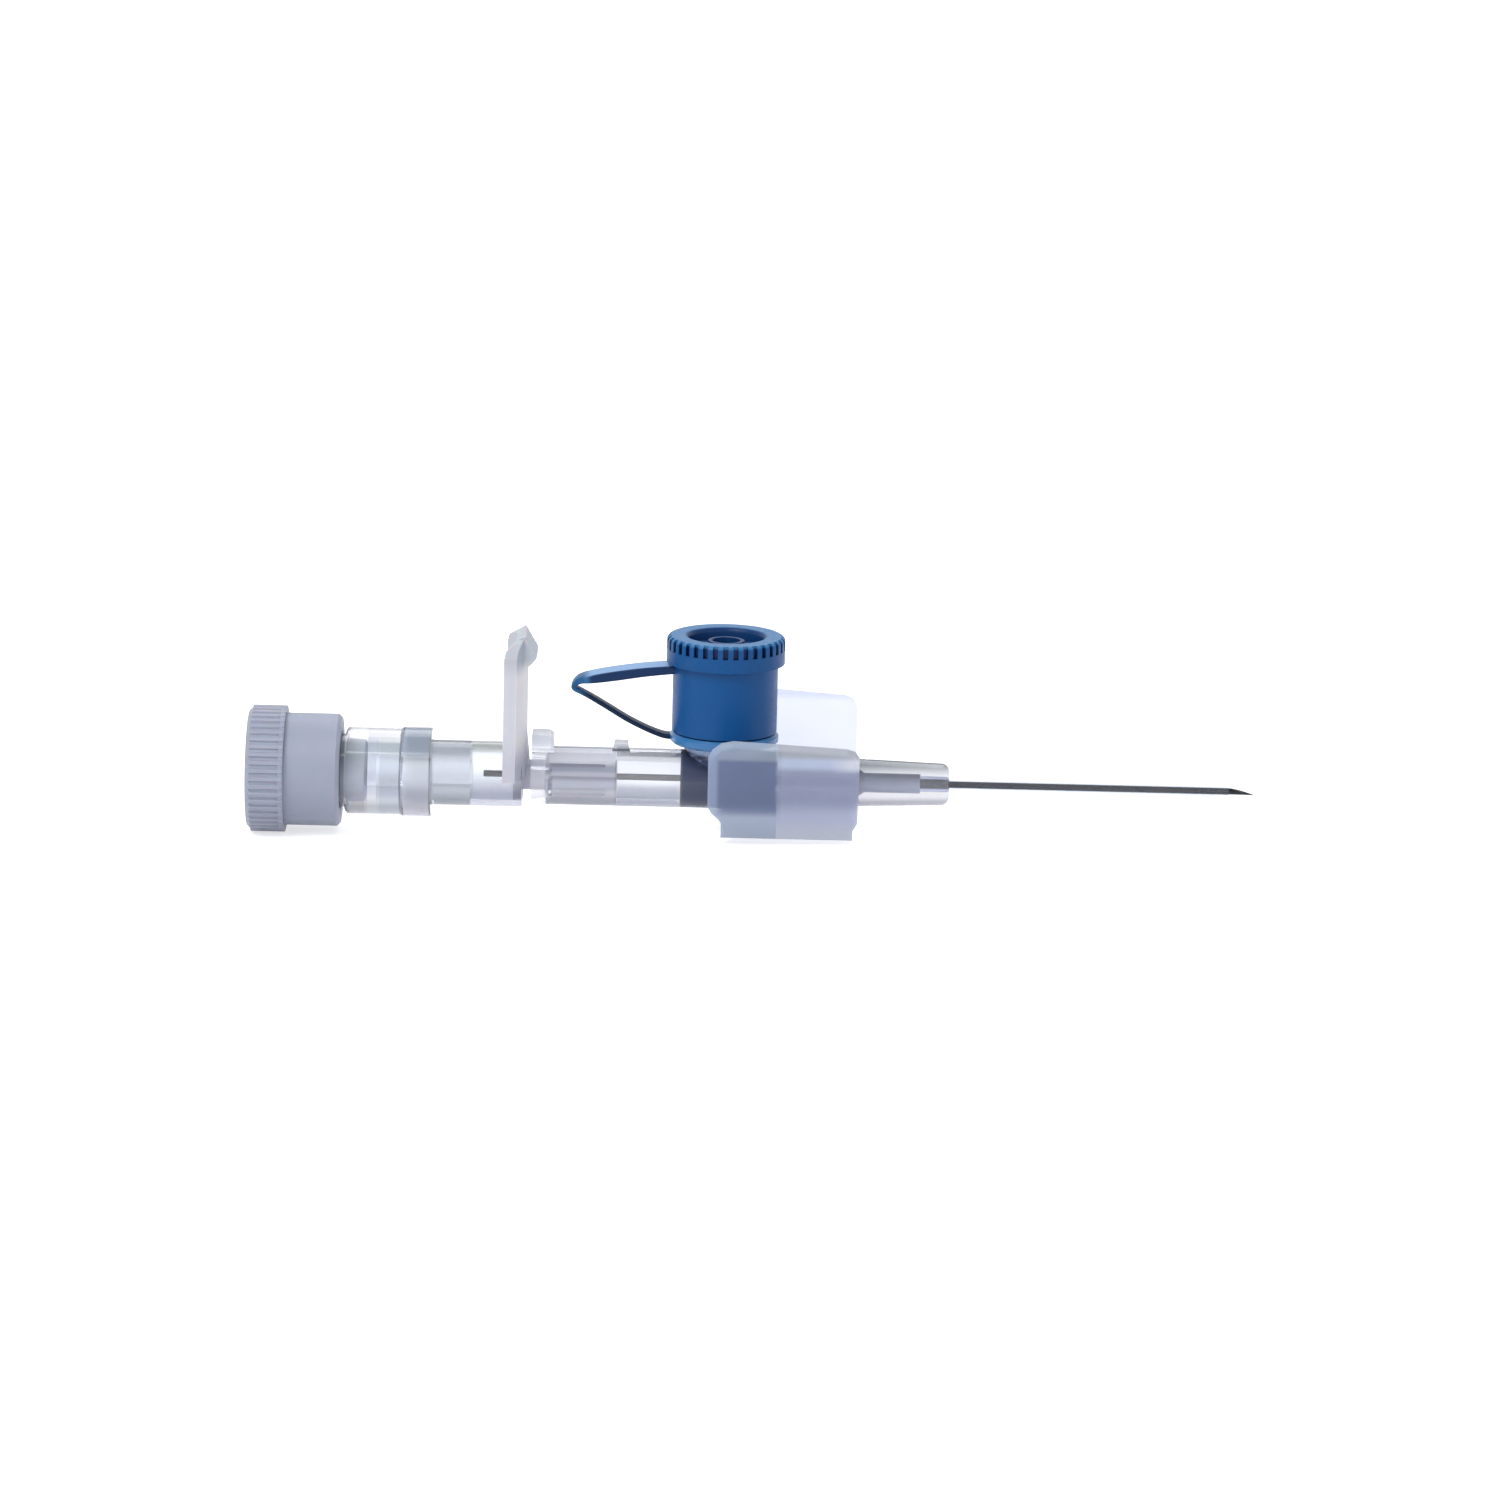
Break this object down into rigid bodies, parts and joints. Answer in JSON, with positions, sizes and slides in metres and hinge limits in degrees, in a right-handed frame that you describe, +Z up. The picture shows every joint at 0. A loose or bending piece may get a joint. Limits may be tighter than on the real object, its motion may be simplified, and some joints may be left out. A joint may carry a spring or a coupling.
{
  "type": "intravenous cannula",
  "caption": "Winged intravenous cannula with a capped top port, needle in a catheter tube, thumb tab, flash chamber and threaded vent plug.",
  "frame": {"origin": "on the needle's axis at the front face of the catheter hub's nose, where the catheter tube stands out", "axes": "+X along the needle towards its tip, +Z up through the port and the thumb tab, +Y to the left wing"},
  "size_m": [0.09, 0.024, 0.0188],
  "materials": {
    "steel": "ground and polished",
    "tube_film": "clear, satin",
    "ferrule": "drawn, smooth",
    "clear_hub": "clear, glossy",
    "silicone": "matt",
    "blue_moulding": "moulded, satin",
    "frosted_wing": "frosted",
    "frosted_grip": "frosted",
    "clear_chamber": "clear, glossy",
    "frosted_plug": "frosted",
    "porous": "porous, white"
  },
  "bodies": {
    "catheter": {"catheter_hub": "clear_hub", "catheter_tube": "tube_film", "catheter_bushing": "ferrule", "port_valve": "silicone", "wing_root": "frosted_wing"},
    "left_wing": {"left_wing": "frosted_wing"},
    "right_wing": {"right_wing": "frosted_wing"},
    "needle_unit": {"needle": "steel", "needle_hub": "frosted_grip", "flash_chamber": "clear_chamber", "chamber_end_piece": "clear_chamber"},
    "filter": {"vent_filter": "porous"},
    "plug": {"luer_plug": "frosted_plug"},
    "ring": {"cap_ring": "blue_moulding", "cap_strap": "blue_moulding"},
    "cap": {"port_cap": "blue_moulding"}
  },
  "joints": [
    {"name": "needle_withdrawal", "type": "slide", "parent": "catheter", "child": "needle_unit", "axis": [-1, 0, 0], "range_m": [0, 0.068]},
    {"name": "plug_travel", "type": "slide", "parent": "needle_unit", "child": "filter", "axis": [-1, 0, 0], "range_m": [0, 0.0079]},
    {"name": "plug_turn", "type": "hinge", "parent": "filter", "child": "plug", "pos_m": [-0.0607, 0, 0], "axis": [-1, 0, 0], "range_deg": [0, 570]},
    {"name": "ring_turn", "type": "hinge", "parent": "catheter", "child": "ring", "pos_m": [-0.0202, 0, 0.0039], "axis": [0, 0, 1], "continuous": true},
    {"name": "cap_lift", "type": "slide", "parent": "ring", "child": "cap", "axis": [0, 0, 1], "range_m": [0, 0.006], "deforming": ["cap_strap"]},
    {"name": "left_wing_fold", "type": "hinge", "parent": "catheter", "child": "left_wing", "pos_m": [-0.0145, 0.004, -0.00395], "axis": [-1, 0, 0], "range_deg": [0, 52]},
    {"name": "right_wing_fold", "type": "hinge", "parent": "catheter", "child": "right_wing", "pos_m": [-0.0145, -0.004, -0.00395], "axis": [1, 0, 0], "range_deg": [0, 52]}
  ],
  "couplings": [
    {"joint": "plug_turn", "follows": "plug_travel", "rad_per_m": 1256.6}
  ]
}
